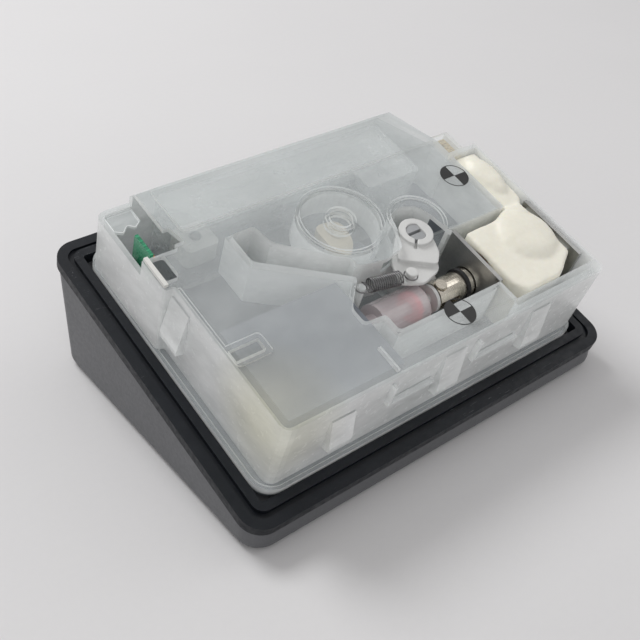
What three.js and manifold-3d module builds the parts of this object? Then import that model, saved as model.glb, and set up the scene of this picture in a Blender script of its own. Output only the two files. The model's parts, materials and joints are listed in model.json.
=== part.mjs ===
// A dishwasher detergent and rinse-aid dispenser, lying on its front face, in millimetres.
// +Z is up, X runs along the long side, and the origin is under the middle of the object.
// The rear half is built in a tilted group: there z = 0 is the face that the door's inner panel
// presses the seal against, and z grows towards the rear of the dispenser.
import * as THREE from "three";
import { mergeVertices } from "three/addons/utils/BufferGeometryUtils.js";
import Module from "manifold-3d";

const wasm = await Module();
wasm.setup();

// ---- Driving dimensions ----
const TILT = THREE.MathUtils.degToRad(16.4); // the seal face against the front face
const SEAL_LENGTH = 160;
const SEAL_WIDTH = 124;
const SEAL_RADIUS = 8;
const SEAL_BASE = -3.6; // underside of the seal
const RIM_TOP = -3.9; // rear face of the bezel, under the seal
const NEAR_HEIGHT = 11.5; // height of the seal face at its low edge
const FLANGE_LENGTH = 142.8;
const FLANGE_WIDTH = 106.8;
const FLANGE_RADIUS = 8;
const FLANGE_TOP = 1.5;
const GAP = 0.3; // between pieces that touch on the real object
const WALL = 1.8; // rear housing walls
const COVER_TOP = 31; // rear face of the housing
const COVER_BASE = 29.2;
const HOUSING_LEFT = -71;
const HOUSING_STEP = -68; // the left wall steps in along the detergent cup
const STEP_Y = 7.5;
const HOUSING_RIGHT = 71;
const HOUSING_NEAR = -50.8;
const HOUSING_FAR = 49.4;
const FAR_EDGE = 46; // where the far edge's slope meets the rear face
const CORNER_TOP = 24.5; // the low far left corner, over the level sensor
const POCKET_FLOOR = 4; // floor of the mechanism pocket
const AXIS_Y = -25.2; // solenoid axis, along X
const AXIS_Z = 18;
const PLUNGER_RADIUS = 5;
const PIVOT_X = 20; // lever shaft
const PIVOT_Y = -6;
const HUB_RADIUS = 6.2;
const HUB_TOP = 29.6;
const KEYWAY_DEGREES = 50;
const BOW = { x: 20.8, y: -3.4, radius: 8.3 }; // the window's bow round the lever hub
const PIN_X = 17.3; // cross pin that joins plunger and lever
const SHAFT_RADIUS = 3.5;
const DIAL_X = -2.5; // dosage dial and its chamber
const DIAL_Y = 8.7;
const CHAMBER_RADIUS = 15.3;
const SPRING_POST = [-13.2, -17];
const SPRING_PEG = [5.5, -20.3]; // on the lever
const SPRING_Z = 28.9;
const CUP = { left: -62, right: -21, near: -45, far: -13, wall: 1.6, bottom: 27 };
const FACE = 3.4; // depth of the lid tray in the front face
const FACE_BACK = 5.4;
const SHELL = 2.4; // front face and skirt thickness
const SKIRT_HALF_X = 79.5;
const SKIRT_HALF_Y = (SEAL_WIDTH / 2) * Math.cos(TILT) - 0.5;
const SKIRT_Y = (SEAL_BASE / 2 - RIM_TOP) * Math.sin(TILT);
const COIL = { front: 31, back: 67.6, plate: 1.6, near: -37.1, far: -12.3, low: 6.3, high: 30.5 };
const COIL_POCKET = { left: 29.6, right: 70, near: -45.6, far: -11.4 };
const NECK = { left: 57.6, far: 17, floor: 11.5 }; // trough that the potting runs up beside the pocket
const WINDOW = { right: 30.2, near: -37.4, far: -12.6 }; // the plunger's end of the mechanism window
const SLOT = { left: -66.8, right: -56.4, near: -24.2, far: -20, floor: 29.9 }; // in the rear face
const TERMINAL_LEVELS = [16, 24]; // undersides of the two blades
const TERMINAL_THICK = 0.8;
const PLUNGER_END = 15; // its left end, which the lever's tongue enters
const PLUNGER_SLOT = 24; // bottom of the slot for the tongue
const BUMPER_X = 27.2;
const VALVE_RADIUS = 6.9;
const VALVE_END = 8.4; // open end of the valve body, towards the plunger
const BEYOND = 100; // past every edge of the object, for cutting tools
const LID = { left: -66, right: -9.4, near: -46.5, far: -1, base: 0.6, top: 2.6 };
const CATCH = { near: -8.2, far: -4.2, top: 12.6 }; // the lid's catch, beside the latch arm
const HINGE = { x: -68, z: 1.9, knuckle: 1.25, bore: 0.85, pin: 0.6 };
const FILLER_X = 38; // rinse-aid filler in the front face
const FILLER_Y = 19;
const NECK_RADIUS = 14.2;

const rear = new THREE.Group();
rear.rotation.x = TILT;
rear.position.set(
  0,
  (SEAL_BASE * Math.sin(TILT)) / 2,
  NEAR_HEIGHT + (SEAL_WIDTH / 2) * Math.sin(TILT),
);
rear.updateMatrix();
const TO_ROW = rear.matrix.clone();
const TO_REAR = TO_ROW.clone().invert();
const front = new THREE.Group();
const dispenser = new THREE.Group();
dispenser.add(front, rear);

// ---- Solids ----
function solid(geometry) {
  const bare = geometry.clone();
  bare.deleteAttribute("normal");
  bare.deleteAttribute("uv");
  const merged = mergeVertices(bare, 1e-4);
  return new wasm.Manifold(
    new wasm.Mesh({
      numProp: 3,
      vertProperties: merged.attributes.position.array,
      triVerts: new Uint32Array(merged.index.array),
    }),
  );
}

function geometryOf(body) {
  const mesh = body.getMesh();
  const geometry = new THREE.BufferGeometry();
  geometry.setAttribute("position", new THREE.BufferAttribute(mesh.vertProperties, 3));
  geometry.setIndex(new THREE.BufferAttribute(mesh.triVerts, 1));
  geometry.computeVertexNormals();
  return geometry;
}

const join = (...bodies) => bodies.reduce((a, b) => a.add(b));
const cut = (body, ...tools) => tools.reduce((a, b) => a.subtract(b), body);

// The same solid seen from the other frame.
function carried(body, matrix) {
  return solid(geometryOf(body).applyMatrix4(matrix));
}

function polygon(points) {
  const shape = new THREE.Shape();
  points.forEach(([x, y], i) => (i ? shape.lineTo(x, y) : shape.moveTo(x, y)));
  shape.closePath();
  return shape;
}

// A polygon with every corner rounded to the same radius, by a quadratic curve.
function softPolygon(points, radius) {
  const shape = new THREE.Shape();
  const corners = points.map(([x, y]) => new THREE.Vector2(x, y));
  corners.forEach((corner, i) => {
    const before = corners[(i + corners.length - 1) % corners.length];
    const after = corners[(i + 1) % corners.length];
    const into = before.clone().sub(corner);
    const out = after.clone().sub(corner);
    const reach = Math.min(radius, into.length() / 2.2, out.length() / 2.2);
    const start = corner.clone().addScaledVector(into.normalize(), reach);
    const end = corner.clone().addScaledVector(out.normalize(), reach);
    if (i) shape.lineTo(start.x, start.y);
    else shape.moveTo(start.x, start.y);
    shape.quadraticCurveTo(corner.x, corner.y, end.x, end.y);
  });
  shape.closePath();
  return shape;
}

function roundedRect(centreX, centreY, length, width, radius) {
  const x = centreX - length / 2;
  const y = centreY - width / 2;
  const shape = new THREE.Shape();
  shape.moveTo(x + radius, y);
  shape.lineTo(x + length - radius, y);
  shape.absarc(x + length - radius, y + radius, radius, -Math.PI / 2, 0);
  shape.absarc(x + length - radius, y + width - radius, radius, 0, Math.PI / 2);
  shape.absarc(x + radius, y + width - radius, radius, Math.PI / 2, Math.PI);
  shape.absarc(x + radius, y + radius, radius, Math.PI, 1.5 * Math.PI);
  return shape;
}

function prism(shape, low, high, curveSegments = 5) {
  const options = { depth: high - low, bevelEnabled: false, curveSegments };
  return solid(new THREE.ExtrudeGeometry(shape, options).translate(0, 0, low));
}

// A prism whose lower edge is rounded.
function footedPrism(shape, low, high, round) {
  const options = {
    depth: high - low - round,
    bevelEnabled: true,
    bevelThickness: round,
    bevelSize: round,
    bevelOffset: -round,
    bevelSegments: 4,
    curveSegments: 6,
  };
  return solid(new THREE.ExtrudeGeometry(shape, options).translate(0, 0, low + round));
}

function block(x0, x1, y0, y1, z0, z1) {
  const box = new THREE.BoxGeometry(x1 - x0, y1 - y0, z1 - z0);
  return solid(box.translate((x0 + x1) / 2, (y0 + y1) / 2, (z0 + z1) / 2));
}

function post(x, y, radius, low, high, sides = 24) {
  const cylinder = new THREE.CylinderGeometry(radius, radius, high - low, sides);
  return solid(cylinder.rotateX(Math.PI / 2).translate(x, y, (low + high) / 2));
}

function rod(start, end, radius, sides = 20) {
  const from = new THREE.Vector3(...start);
  const along = new THREE.Vector3(...end).sub(from);
  const cylinder = new THREE.CylinderGeometry(radius, radius, along.length(), sides);
  const turn = new THREE.Quaternion().setFromUnitVectors(
    new THREE.Vector3(0, 1, 0),
    along.clone().normalize(),
  );
  cylinder.applyQuaternion(turn);
  cylinder.translate(...from.addScaledVector(along, 0.5).toArray());
  return solid(cylinder);
}

const axialRod = (x0, x1, radius, sides) =>
  rod([x0, AXIS_Y, AXIS_Z], [x1, AXIS_Y, AXIS_Z], radius, sides);

function tube(x, y, outer, inner, low, high, sides = 24) {
  return cut(post(x, y, outer, low, high, sides), post(x, y, inner, low - 1, high + 1, sides));
}

function frameRing(length, width, radius, band, low, high) {
  const inner = roundedRect(0, 0, length - 2 * band, width - 2 * band, Math.max(radius - band, 1));
  return cut(
    prism(roundedRect(0, 0, length, width, radius), low, high),
    prism(inner, low - 1, high + 1),
  );
}

function addPart(group, name, body, color, roughness, metalness = 0, opacity = 1) {
  const material = new THREE.MeshStandardMaterial({ color, roughness, metalness });
  material.opacity = opacity;
  material.transparent = opacity < 1;
  const mesh = new THREE.Mesh(geometryOf(body), material);
  mesh.name = name;
  group.add(mesh);
}

const GREY = 0x7f8488;
const RUBBER = 0x16181d;
const FROSTED = 0xdfe6e4;
const STEEL = 0xa9a59c;
const WHITE = 0xf0f0ee;
const CREAM = 0xe9e6d8;
const BRASS = 0xc8a860;

// ---- Front bezel: the wedge-shaped skirt with the front face ----
function frontBezel() {
  const skirt = roundedRect(0, SKIRT_Y, 2 * SKIRT_HALF_X, 2 * SKIRT_HALF_Y, SEAL_RADIUS);
  const insideX = SKIRT_HALF_X - SHELL;
  const insideY = SKIRT_HALF_Y - SHELL;
  const inside = roundedRect(0, SKIRT_Y, 2 * insideX, 2 * insideY, SEAL_RADIUS - SHELL);
  const below = (level) => carried(block(-BEYOND, BEYOND, -BEYOND, BEYOND, level - 120, level), TO_ROW);
  const wedge = footedPrism(skirt, 0, 60, 3).intersect(below(RIM_TOP));
  const hollow = prism(inside, SHELL, 60).intersect(below(RIM_TOP - 1.8));
  const mouth = carried(
    prism(roundedRect(0, 0, FLANGE_LENGTH - 8, FLANGE_WIDTH - 8, 6), RIM_TOP - 12, RIM_TOP + 5),
    TO_ROW,
  ).intersect(block(-BEYOND, BEYOND, -BEYOND, BEYOND, SHELL, BEYOND));
  const trayX = (HINGE.x + LID.right) / 2;
  const trayLength = LID.right - HINGE.x + 6;
  const trayWidth = LID.far - LID.near + 3;
  const trayY = (LID.near + LID.far) / 2;
  const trayBlock = prism(
    roundedRect(trayX, trayY, trayLength + 4, trayWidth + 4, 3),
    SHELL - 0.5,
    FACE_BACK,
  );
  const tray = prism(roundedRect(trayX, trayY, trayLength, trayWidth, 2), -1, FACE);
  const neckRing = post(FILLER_X, FILLER_Y, 20, SHELL - 0.5, FACE_BACK, 32);
  const thumbRecess = post(LID.right + 3, trayY, 9, -1, 1.6, 24);
  const cupHole = carried(cupBlock(CUP.wall + GAP, -60, CUP.bottom), TO_ROW);
  const lugs = [LID.near + 1.2, LID.far - 1.2].map((y) =>
    block(HINGE.x - 1.5, HINGE.x + 1.3, y - 1.1, y + 1.1, 0.5, FACE + 0.5),
  );
  const pinHole = rod(
    [HINGE.x, LID.near - 1.6, HINGE.z],
    [HINGE.x, LID.far + 1.6, HINGE.z],
    HINGE.bore,
    12,
  );
  const shell = join(cut(wedge, hollow, mouth), trayBlock.intersect(below(RIM_TOP)), neckRing);
  const opened = cut(
    shell,
    tray,
    thumbRecess,
    cupHole,
    block(-13.2, -9, CATCH.near - 0.6, CATCH.far + 0.6, -1, FACE_BACK + 1),
    post(FILLER_X, FILLER_Y, 17.6, -1, FACE, 36),
    post(FILLER_X, FILLER_Y, NECK_RADIUS + 1.9, -1, FACE_BACK + 1, 36),
    post(-38, 34, 5.4, -1, FACE_BACK + 1, 20),
    carried(post(DIAL_X, DIAL_Y, 8.4, -60, RIM_TOP - 8, 28), TO_ROW),
  );
  return cut(join(opened, ...lugs), pinHole);
}

// ---- Perimeter seal: flat outer lip, groove and raised inner lip ----
function perimeterSeal() {
  const band = (SEAL_LENGTH - FLANGE_LENGTH) / 2 - GAP;
  const base = frameRing(SEAL_LENGTH, SEAL_WIDTH, SEAL_RADIUS, band, SEAL_BASE, -1);
  const outerLip = frameRing(SEAL_LENGTH, SEAL_WIDTH, SEAL_RADIUS, 3.6, -1.5, 0);
  const innerLip = frameRing(
    SEAL_LENGTH - 10.4,
    SEAL_WIDTH - 10.4,
    SEAL_RADIUS - 4,
    band - 5.2,
    -1.5,
    0.7,
  );
  return join(base, outerLip, innerLip);
}

// ---- Inner body: the moulding with the detergent cup ----
function cupBlock(grow, low, high) {
  return block(CUP.left - grow, CUP.right + grow, CUP.near - grow, CUP.far + grow, low, high);
}

function innerBody() {
  const deck = prism(
    roundedRect(0, 0, FLANGE_LENGTH - 1.4, FLANGE_WIDTH - 1.4, FLANGE_RADIUS - 0.7),
    -2.7,
    -0.9,
  );
  const aboveTray = carried(block(-BEYOND, BEYOND, -BEYOND, BEYOND, FACE, BEYOND), TO_REAR);
  const cup = cupBlock(CUP.wall, -50, CUP.bottom + CUP.wall).intersect(aboveTray);
  const chamberHole = post(DIAL_X, DIAL_Y, 3.6, -20, 10, 16);
  const shaftHole = post(PIVOT_X, PIVOT_Y, SHAFT_RADIUS + GAP, -20, 10, 20);
  const filler = carried(neck(), TO_REAR);
  const fillerHole = carried(post(FILLER_X, FILLER_Y, NECK_RADIUS, 2, 60, 28), TO_REAR);
  return cut(
    join(deck, cup, filler),
    cupBlock(0, -60, CUP.bottom),
    chamberHole,
    shaftHole,
    fillerHole,
  );
}

function neck() {
  const height = carried(post(FILLER_X, FILLER_Y, 30, -60, -1.5, 4), TO_ROW);
  const flared = join(
    post(FILLER_X, FILLER_Y, NECK_RADIUS + 1.6, FACE + 0.2, 60, 28),
    post(FILLER_X, FILLER_Y, 19.5, FACE_BACK + GAP, FACE_BACK + 2, 28),
  );
  return flared.intersect(height);
}

// ---- Rear housing: flange, walls and rear face in one translucent moulding ----
const wallOutline = (inset) => [
  [HOUSING_STEP + inset, HOUSING_NEAR + inset],
  [HOUSING_RIGHT - inset, HOUSING_NEAR + inset],
  [HOUSING_RIGHT - inset, HOUSING_FAR - inset],
  [HOUSING_LEFT + inset, HOUSING_FAR - inset],
  [HOUSING_LEFT + inset, STEP_Y + inset],
  [HOUSING_STEP + inset, STEP_Y + inset],
];

// The opening over the mechanism, with the slot that runs up to its left.
// It bows round the lever's hub.
function mechanismWindow() {
  const bow = [0, 45, 90, 135, 180].map((degrees) => {
    const angle = THREE.MathUtils.degToRad(degrees);
    return [BOW.x + BOW.radius * Math.cos(angle), BOW.y + BOW.radius * Math.sin(angle)];
  });
  return [
    [-40.3, 6],
    [-13.3, -14.1],
    [-22.8, -23.6],
    [-22.8, -30],
    [-14.6, -30.4],
    [-14.6, WINDOW.near],
    [WINDOW.right, WINDOW.near],
    [WINDOW.right, WINDOW.far],
    ...bow,
    [9.4, -10.6],
    [1, -12.4],
    [-7.6, -11],
    [-10.2, -9.6],
    [-9.8, -6.7],
    [-14.8, -3.5],
    [-30, 10.3],
    [-31.2, 18.5],
    [-40.3, 18.5],
  ];
}

// The polygon grown outwards; its points run counter-clockwise.
function grown(points, by) {
  return points.map(([x, y], i) => {
    const [px, py] = points[(i + points.length - 1) % points.length];
    const [nx, ny] = points[(i + 1) % points.length];
    const into = new THREE.Vector2(x - px, y - py).normalize();
    const out = new THREE.Vector2(nx - x, ny - y).normalize();
    const normal = new THREE.Vector2(into.y + out.y, -into.x - out.x).normalize();
    const reach = by / Math.max(0.5, normal.x * into.y - normal.y * into.x);
    return [x + normal.x * reach, y + normal.y * reach];
  });
}

function rearHousing() {
  const flange = prism(
    roundedRect(0, 0, FLANGE_LENGTH, FLANGE_WIDTH, FLANGE_RADIUS),
    -0.6,
    FLANGE_TOP,
  );
  const lip = frameRing(FLANGE_LENGTH, FLANGE_WIDTH, FLANGE_RADIUS, 1.3, 1, FLANGE_TOP + 0.7);
  const outside = prism(softPolygon(wallOutline(0), 4), 0, COVER_TOP, 4);
  const inside = prism(softPolygon(wallOutline(WALL), 2.5), -5, COVER_BASE, 4);
  const cornerNotch = prism(
    polygon([
      [45.5, 60],
      [57.6, 26],
      [57.6, 19],
      [80, 19],
      [80, 60],
    ]),
    11,
    40,
  );
  const notchStep = prism(
    polygon([
      [45, HOUSING_FAR - 1],
      [56, 26],
      [56, NECK.far + 0.5],
      [70, NECK.far + 0.5],
      [70, HOUSING_FAR - 1],
    ]),
    9.4,
    COVER_BASE + 0.5,
  );
  const reservoirBand = prism(
    softPolygon(
      [
        [-54, 26],
        [56.4, 26],
        [46.6, FAR_EDGE - 0.6],
        [-54, FAR_EDGE - 0.6],
      ],
      1.5,
    ),
    COVER_TOP - 0.5,
    COVER_TOP + 1.2,
  );
  const farRightRoom = polygon([
    [40, HOUSING_FAR - WALL],
    [44, HOUSING_FAR - WALL],
    [54.8, 26],
    [54.8, 0],
    [40, 0],
  ]);
  const pocketFloor = block(-18.4, 70, -47, 6, POCKET_FLOOR - WALL, POCKET_FLOOR);
  const windowWalls = cut(
    prism(polygon(grown(mechanismWindow(), 1)), 13, COVER_BASE + 0.5),
    prism(polygon(mechanismWindow()), 10, 40),
  ).intersect(join(block(-50, 29, -11, 40, 0, 40), block(-18.8, 29, -50, 10, 0, 40)));
  const channelFloor = prism(polygon(grown(mechanismWindow(), 0.6)), 16.5, 17.7).intersect(
    block(-50, -11, -13.5, 40, 0, 40),
  );
  const terminalShroud = cut(
    block(60.2, 69.4, NECK.far + 1, 31.6, 13.8, 27),
    block(61, 68.6, NECK.far, 33, 14.8, 26),
  );
  const coilRoom = (left) =>
    block(left, COIL_POCKET.right, COIL_POCKET.near, COIL_POCKET.far, POCKET_FLOOR, 40);
  const coilWalls = cut(
    block(
      COIL_POCKET.left + 1,
      COIL_POCKET.right,
      COIL_POCKET.near - 1.5,
      COIL_POCKET.far + 1.5,
      POCKET_FLOOR - WALL,
      COVER_BASE + 0.5,
    ),
    coilRoom(0),
  );
  const neckWalls = cut(
    block(56.4, 70, -12, NECK.far + 1.5, 10, COVER_BASE + 0.5),
    block(NECK.left, 80, -40, NECK.far, NECK.floor, 40),
  );
  const shaftBearing = tube(PIVOT_X, PIVOT_Y, 6.6, SHAFT_RADIUS + 0.25, 0, 9, 24);
  const springPost = post(...SPRING_POST, 1.5, POCKET_FLOOR - 1, SPRING_Z + 1.6, 12);
  const ringWall = (outer, inner, low, high) =>
    tube(DIAL_X, DIAL_Y, outer, inner, low, high, 36);
  const solidParts = join(
    cut(join(outside, flange, lip), inside),
    reservoirBand,
    notchStep,
    pocketFloor,
    windowWalls,
    channelFloor,
    coilWalls,
    neckWalls,
    shaftBearing,
    ringWall(CHAMBER_RADIUS, CHAMBER_RADIUS - 1.2, 20, COVER_TOP + 0.7),
    ringWall(5.3, 4, 28, COVER_TOP + 1),
    tube(BOW.x + 2, BOW.y + 0.9, 10.8, 9.5, COVER_BASE + 0.2, COVER_TOP + 0.7, 28),
    ...wallDetails(),
    springPost,
  );
  const opened = cut(
    solidParts,
    cornerNotch,
    farSlope(),
    block(-80, -58.4, 20.8, 60, CORNER_TOP, 40),
    prism(softPolygon(mechanismWindow(), 1.6), COVER_BASE - 0.2, 40, 3),
    coilRoom(COIL_POCKET.left + 1),
    block(NECK.left, COIL_POCKET.right, -14, NECK.far, NECK.floor, 40),
    block(24, 34, WINDOW.near, WINDOW.far, POCKET_FLOOR, 40),
    prism(farRightRoom, 5, COVER_BASE),
    post(PIVOT_X, PIVOT_Y, SHAFT_RADIUS + 0.25, -5, 12, 24),
    post(PIVOT_X, PIVOT_Y, HUB_RADIUS + 1, 9, 40, 24),
    block(0, 14.5, -14.5, 0, 24.6, COVER_BASE),
    post(DIAL_X, DIAL_Y, 2.4, -5, 28, 16),
    ...TERMINAL_LEVELS.map(terminalSlot),
    ...recesses(),
  );
  return join(opened, terminalShroud);
}

function terminalSlot(level) {
  const top = level + TERMINAL_THICK + GAP;
  return block(61.3, 68.2, NECK.far - 2, NECK.far + 4, level - GAP, top);
}

// A bar along X whose end view is given as [y, z] points.
function barAlongX(points, x0, x1) {
  const options = { depth: x1 - x0, bevelEnabled: false };
  const bar = new THREE.ExtrudeGeometry(polygon(points), options);
  const turn = new THREE.Matrix4().makeBasis(
    new THREE.Vector3(0, 1, 0),
    new THREE.Vector3(0, 0, 1),
    new THREE.Vector3(1, 0, 0),
  );
  return bar.applyMatrix4(turn).translate(x0, 0, 0);
}

// What is cut off along the far edge, so that it slopes down to the far wall.
function farSlope() {
  const side = [
    [FAR_EDGE, COVER_TOP + 0.3],
    [HOUSING_FAR + 4, 23],
    [HOUSING_FAR + 4, 40],
    [FAR_EDGE, 40],
  ];
  return solid(barAlongX(side, -BEYOND, BEYOND));
}

// Snap ramps and ledges outside the near and left walls, and ribs on the rear face.
function wallDetails() {
  const parts = [
    snapRamp(-45.5, 4.5, 10, 24),
    snapRamp(-1, 4.8, 9.5, 28),
    snapRamp(39, 4.5, 9.5, 28),
    snapRamp(0, 4.8, 9.6, 28)
      .translate(0, -HOUSING_NEAR, 0)
      .rotate([0, 0, -90])
      .translate(HOUSING_STEP, 2.4, 0),
  ];
  for (const [x0, x1] of [
    [-28, -8.5],
    [8.5, 30],
  ]) {
    parts.push(block(x0, x1, HOUSING_NEAR - 2, HOUSING_NEAR + 0.5, 18.4, 19.4));
    parts.push(block(x0, x0 + 1, HOUSING_NEAR - 2, HOUSING_NEAR + 0.5, 18.4, 28));
  }
  parts.push(block(-26, -25, -49.5, -40, COVER_TOP - 0.5, COVER_TOP + 1.2));
  const left = HOUSING_STEP + 0.6;
  parts.push(block(left, left + 1, -20, STEP_Y - 1, COVER_TOP - 0.5, COVER_TOP + 0.6));
  parts.push(prism(roundedRect(-61, -22.1, 12.8, 8.2, 1.6), COVER_TOP - 0.5, COVER_TOP + 0.7));
  return parts;
}

// A wedge that leans out of the near wall: thin at the top, proud at the bottom.
function snapRamp(x, halfWidth, low, high) {
  const side = [
    [0.5, low],
    [-3, low + 1],
    [-3, low + 2.6],
    [-0.6, high],
    [0.5, high],
  ];
  return solid(barAlongX(side, x - halfWidth, x + halfWidth).translate(0, HOUSING_NEAR, 0));
}

// Openings through the rear face beside the mechanism window.
function recesses() {
  const triangle = polygon([
    [-64.2, 22.2],
    [-55, 22.6],
    [-56.6, 29.4],
    [-60, 29.4],
  ]);
  return [
    prism(roundedRect(-66.4, 15.4, 5.2, 9.4, 1.2), 21, 40),
    prism(triangle, 20, 40),
    block(SLOT.left, SLOT.right, SLOT.near, SLOT.far, SLOT.floor, 40),
    block(-69.2, -63.8, 21.4, 33, 15, 40),
    block(-73, -69, 22.4, 32, 25, 40),
  ];
}

// ---- Rinse-aid reservoir: a clear tank under the far band ----
function rinseReservoir() {
  const outline = (inset) =>
    softPolygon(
      [
        [-52 + inset, 45.2 - inset],
        [-52 + inset, 26.4 + inset],
        [18.5 + inset, 26.4 + inset],
        [18.5 + inset, 18 + inset],
        [43 - inset, 18 + inset],
        [43 - inset, 45.2 - inset],
      ],
      2,
    );
  return cut(prism(outline(0), -0.6, 28.8, 3), prism(outline(1.2), -2, 27.6, 3));
}

// ---- Solenoid ----
function solenoidFrame() {
  const { front, back, plate, near, far, low, high } = COIL;
  const frontPlate = block(front, front + plate, near, far, low, high);
  const bottom = block(front, back + plate, near, far, low, low + plate);
  return cut(
    join(frontPlate, bottom),
    axialRod(front - 1, front + plate + 1, PLUNGER_RADIUS + 0.5, 28),
  );
}

function solenoidBackPlate() {
  const { back, plate, near, far, low, high } = COIL;
  return cut(
    block(back, back + plate, near - 4, far, low + plate + GAP, high),
    axialRod(back - 2, back + 4, 3.3, 16),
  );
}

function coilBobbin() {
  const flangeBody = (x) =>
    block(x, x + 1.4, AXIS_Y - 11, AXIS_Y + 11, AXIS_Z - 10, AXIS_Z + 10.4);
  return cut(
    join(flangeBody(33.2), flangeBody(66.2), axialRod(33.4, 67.4, 7.4, 28)),
    axialRod(30, 70, PLUNGER_RADIUS + 0.6, 28),
  );
}

function coilWinding() {
  return cut(axialRod(35, 65.8, 9.6, 32), axialRod(34, 67, 7.7, 32));
}

function coilPotting() {
  const top = COIL.high + 0.2;
  const cast = prism(
    softPolygon(
      [
        [34.9, -39.5],
        [38, -44.9],
        [54, -44.9],
        [65.8, -38],
        [65.8, COIL.far + 0.2],
        [56, COIL.far + 0.2],
        [50.8, -14.9],
        [34.9, -14.9],
      ],
      1,
    ),
    COIL.low + 2,
    top,
    3,
  );
  const dome = solid(
    new THREE.SphereGeometry(1, 20, 8)
      .scale(11.4, 12, 3.4)
      .translate(55.8, AXIS_Y, top - 0.3),
  );
  const runner = prism(
    softPolygon(
      [
        [59.6, COIL.far - 1.2],
        [65.6, COIL.far - 1.2],
        [69.5, -9],
        [69.5, NECK.far - 0.6],
        [58.4, NECK.far - 0.6],
        [58.4, -6],
      ],
      2,
    ),
    14,
    top - 1,
    3,
  );
  const mound = solid(
    new THREE.SphereGeometry(1, 16, 8).scale(5.2, 11, 3.4).translate(64.2, 4.6, top - 1.4),
  );
  return cut(join(cast, dome, runner, mound), axialRod(30, 70, 9.9, 32));
}

const fixedCore = () =>
  join(axialRod(59, COIL.back - GAP, PLUNGER_RADIUS, 24), axialRod(COIL.back - 0.6, 69.9, 3, 16));

function coilTerminal(level) {
  const blade = block(61.6, 67.9, NECK.far - 0.4, 30.6, level, level + TERMINAL_THICK);
  return cut(blade, post(64.75, 27.2, 0.8, level - 1, level + 2, 12));
}

// ---- Plunger and what it carries ----
function plunger() {
  const body = axialRod(PLUNGER_END, 53.2, PLUNGER_RADIUS, 36);
  const slot = block(PLUNGER_END - 1, PLUNGER_SLOT, AXIS_Y - 8, AXIS_Y + 8, AXIS_Z - 1.6, AXIS_Z + 1.6);
  const pinHole = post(PIN_X, AXIS_Y, 1.4, 0, 40, 16);
  const groove = cut(
    axialRod(BUMPER_X - 0.2, BUMPER_X + 1.4, 8, 28),
    axialRod(BUMPER_X - 1, BUMPER_X + 2, PLUNGER_RADIUS - 0.9, 28),
  );
  const headSeat = post(PIN_X, AXIS_Y, 2.4, AXIS_Z + PLUNGER_RADIUS - 0.8, 40, 20);
  return cut(body, slot, pinHole, groove, headSeat);
}

const crossPin = () =>
  join(
    post(PIN_X, AXIS_Y, 1.15, AXIS_Z - 5.6, AXIS_Z + 5, 16),
    post(PIN_X, AXIS_Y, 2.1, AXIS_Z + PLUNGER_RADIUS - 0.5, AXIS_Z + PLUNGER_RADIUS + 0.6, 20),
  );

const plungerBumper = () =>
  cut(
    axialRod(BUMPER_X, BUMPER_X + 1.2, PLUNGER_RADIUS + 0.8, 28),
    axialRod(BUMPER_X - 1, BUMPER_X + 2, PLUNGER_RADIUS - 0.7, 28),
  );

const valveStem = () =>
  join(axialRod(-9, 13.6, 1.8, 16), axialRod(13.2, PLUNGER_END - 0.5, PLUNGER_RADIUS, 28));

const valveSeal = () =>
  cut(axialRod(4.2, 6.2, VALVE_RADIUS - 1.5, 32), axialRod(3, 8.6, 2.1, 16));

function valveBody() {
  const barrel = join(axialRod(-11, VALVE_END, VALVE_RADIUS, 32), axialRod(-15.6, -10.5, 3.8, 20));
  const foot = block(-10, 4, AXIS_Y - 4, AXIS_Y + 4, POCKET_FLOOR + GAP, AXIS_Z - 5);
  const bore = join(axialRod(-9.6, VALVE_END + 1, VALVE_RADIUS - 1.2, 28), axialRod(-17, -9, 2.2, 16));
  return cut(join(barrel, foot), bore);
}

// ---- Lever, its shaft and the latch arm on the front end of the shaft ----
function releaseLever() {
  const hub = post(PIVOT_X, PIVOT_Y, HUB_RADIUS, 15.6, HUB_TOP, 28);
  const arm = prism(
    softPolygon(
      [
        [5, -11.8],
        [1.6, -20.2],
        [9.4, -24],
        [18.6, -21.6],
        [24.8, -10.7],
        [24, -3],
        [15, -2],
      ],
      2,
    ),
    25.2,
    26.6,
    3,
  );
  const step = prism(
    softPolygon(
      [
        [14.2, -4],
        [6.4, -12.6],
        [18.2, -20.4],
        [22.4, -16.4],
        [24.6, -10.7],
        [24, -4],
      ],
      1.5,
    ),
    26.4,
    28.4,
    3,
  );
  const springPeg = join(
    post(...SPRING_PEG, 1.6, 26, 30.8, 16),
    post(...SPRING_PEG, 2.1, 29.8, 30.8, 16),
  );
  const tongue = prism(
    softPolygon(
      [
        [15.6, -6],
        [15.2, -28],
        [20.2, -28],
        [24, -6],
      ],
      2,
    ),
    AXIS_Z - 1.25,
    AXIS_Z + 1.25,
    3,
  );
  const pinEye = post(PIN_X, AXIS_Y, 1.45, 10, 22, 16);
  const slit = new THREE.BoxGeometry(HUB_RADIUS + 1, 1, 3);
  slit.translate(-HUB_RADIUS / 2 - 0.5, 0, HUB_TOP - 0.5);
  slit.rotateZ(THREE.MathUtils.degToRad(KEYWAY_DEGREES));
  const keyway = solid(slit.translate(PIVOT_X, PIVOT_Y, 0));
  return cut(join(hub, arm, step, springPeg, tongue), keyedShaft(0.12, 10, 40), pinEye, keyway);
}

// The shaft's round section with one flat, grown for the bore that it drives.
function keyedShaft(grow, low, high) {
  const flatX = PIVOT_X + SHAFT_RADIUS - 1.1 + grow;
  const flat = block(flatX, PIVOT_X + 9, PIVOT_Y - 9, PIVOT_Y + 9, low - 1, high + 1);
  return cut(post(PIVOT_X, PIVOT_Y, SHAFT_RADIUS + grow, low, high, 24), flat);
}

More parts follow.
